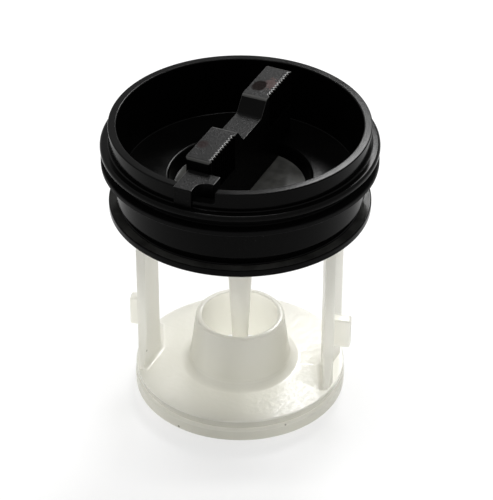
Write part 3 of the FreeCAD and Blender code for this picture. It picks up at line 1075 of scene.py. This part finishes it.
# Studio: a plain white floor, a soft box behind and to the right, a broad soft fill from above and
# a white surround. The camera looks down on the filter from the photograph's angle.
CAMERA_AZIMUTH = math.radians(25.0)
CAMERA_HEIGHT = math.radians(34.99)
CAMERA_FAR = 0.5417
CAMERA_AIM = Vector((0.0, 0.0, 0.0376))
CAMERA_LENS = 163.5
CAMERA_SHIFT = 0.0128
CAMERA_REACH = 20.0
FLOOR_HALF = 3.0
FLOOR_WHITE = (0.97, 0.97, 0.965, 1.0)
FLOOR_DULL = 0.9
back = Vector((
    math.sin(CAMERA_AZIMUTH) * math.cos(CAMERA_HEIGHT),
    -math.cos(CAMERA_AZIMUTH) * math.cos(CAMERA_HEIGHT),
    math.sin(CAMERA_HEIGHT),
))
lens = bpy.data.cameras.new("camera")
lens.lens = CAMERA_LENS
lens.shift_x = CAMERA_SHIFT
lens.clip_end = CAMERA_REACH
camera = bpy.data.objects.new("camera", lens)
camera.location = CAMERA_AIM + back * CAMERA_FAR
camera.rotation_euler = (-back).to_track_quat("-Z", "Y").to_euler()
bpy.context.scene.collection.objects.link(camera)
bpy.context.scene.camera = camera
bpy.context.scene.view_settings.view_transform = "Standard"

floor_mesh = bpy.data.meshes.new("floor")
floor_corners = [(x * FLOOR_HALF, y * FLOOR_HALF, 0.0) for x, y in ((-1, -1), (1, -1), (1, 1), (-1, 1))]
floor_mesh.from_pydata(floor_corners, [], [(0, 1, 2, 3)])
floor = bpy.data.objects.new("floor", floor_mesh)
bpy.context.scene.collection.objects.link(floor)
sheet, sheet_tree, sheet_shader = new_finish("white_sheet")
sheet_shader.inputs["Base Color"].default_value = FLOOR_WHITE
sheet_shader.inputs["Roughness"].default_value = FLOOR_DULL
sheet_shader.inputs["Specular IOR Level"].default_value = 0.0


def seen_as_background(tree):
    """A mask that is 1 on rays that show the background: camera, glossy and transmission rays."""
    rays = tree.nodes.new("ShaderNodeLightPath")
    mask = rays.outputs["Is Camera Ray"]
    for label in ("Is Glossy Ray", "Is Transmission Ray"):
        either = tree.nodes.new("ShaderNodeMath")
        either.operation = "MAXIMUM"
        chain(tree, (mask, either.inputs[0]), (rays.outputs[label], either.inputs[1]))
        mask = either.outputs["Value"]
    return mask


SHEET_GLOW = 0.61
sheet_share = sheet_tree.nodes.new("ShaderNodeMath")
sheet_share.operation = "MULTIPLY"
sheet_share.inputs[1].default_value = SHEET_GLOW
sheet_white = sheet_tree.nodes.new("ShaderNodeEmission")
sheet_mix = sheet_tree.nodes.new("ShaderNodeMixShader")
chain(
    sheet_tree,
    (seen_as_background(sheet_tree), sheet_share.inputs[0]),
    (sheet_share.outputs["Value"], sheet_mix.inputs["Fac"]),
    (sheet_shader.outputs["BSDF"], sheet_mix.inputs[1]),
    (sheet_white.outputs["Emission"], sheet_mix.inputs[2]),
    (sheet_mix.outputs["Shader"], sheet_tree.nodes["Material Output"].inputs["Surface"]),
)
floor_mesh.materials.append(sheet)

world = bpy.data.worlds.new("surround")
bpy.context.scene.world = world
world.use_nodes = True
world_tree = world.node_tree
sky = world_tree.nodes["Background"]
sky.inputs["Color"].default_value = (1.0, 1.0, 1.0, 1.0)

# The surround lights the filter more from behind than from the front
FILL_FRONT = 0.14
FILL_BEHIND = 1.05
surround_place = world_tree.nodes.new("ShaderNodeTexCoord")
surround_turn = world_tree.nodes.new("ShaderNodeVectorMath")
surround_turn.operation = "DOT_PRODUCT"
surround_turn.inputs[1].default_value = (-math.sin(CAMERA_AZIMUTH), math.cos(CAMERA_AZIMUTH), 0.0)
surround_fill = world_tree.nodes.new("ShaderNodeMapRange")
surround_fill.inputs["From Min"].default_value = -1.0
surround_fill.inputs["To Min"].default_value = FILL_FRONT
surround_fill.inputs["To Max"].default_value = FILL_BEHIND
level = world_tree.nodes.new("ShaderNodeMapRange")
level.inputs["To Max"].default_value = 1.0
chain(
    world_tree,
    (surround_place.outputs["Generated"], surround_turn.inputs[0]),
    (surround_turn.outputs["Value"], surround_fill.inputs["Value"]),
    (surround_fill.outputs["Result"], level.inputs["To Min"]),
    (seen_as_background(world_tree), level.inputs["Value"]),
    (level.outputs["Result"], sky.inputs["Strength"]),
)


def soft_box(name, right, behind, up, width, height, watts):
    """A rectangular lamp placed from the camera's side and aimed at the filter."""
    forward = Vector((-math.sin(CAMERA_AZIMUTH), math.cos(CAMERA_AZIMUTH), 0.0))
    across = Vector((math.cos(CAMERA_AZIMUTH), math.sin(CAMERA_AZIMUTH), 0.0))
    light = bpy.data.lights.new(name, "AREA")
    light.shape = "RECTANGLE"
    light.size = width
    light.size_y = height
    light.energy = watts
    lamp = bpy.data.objects.new(name, light)
    lamp.location = CAMERA_AIM + across * right + forward * behind + Vector((0, 0, up))
    lamp.rotation_euler = (CAMERA_AIM - lamp.location).to_track_quat("-Z", "Y").to_euler()
    lamp.visible_camera = False
    bpy.context.scene.collection.objects.link(lamp)


soft_box("key_box", right=0.14, behind=0.60, up=0.53, width=0.22, height=0.17, watts=3.9)
soft_box("top_box", right=0.0, behind=0.05, up=0.62, width=0.30, height=0.05, watts=1.4)
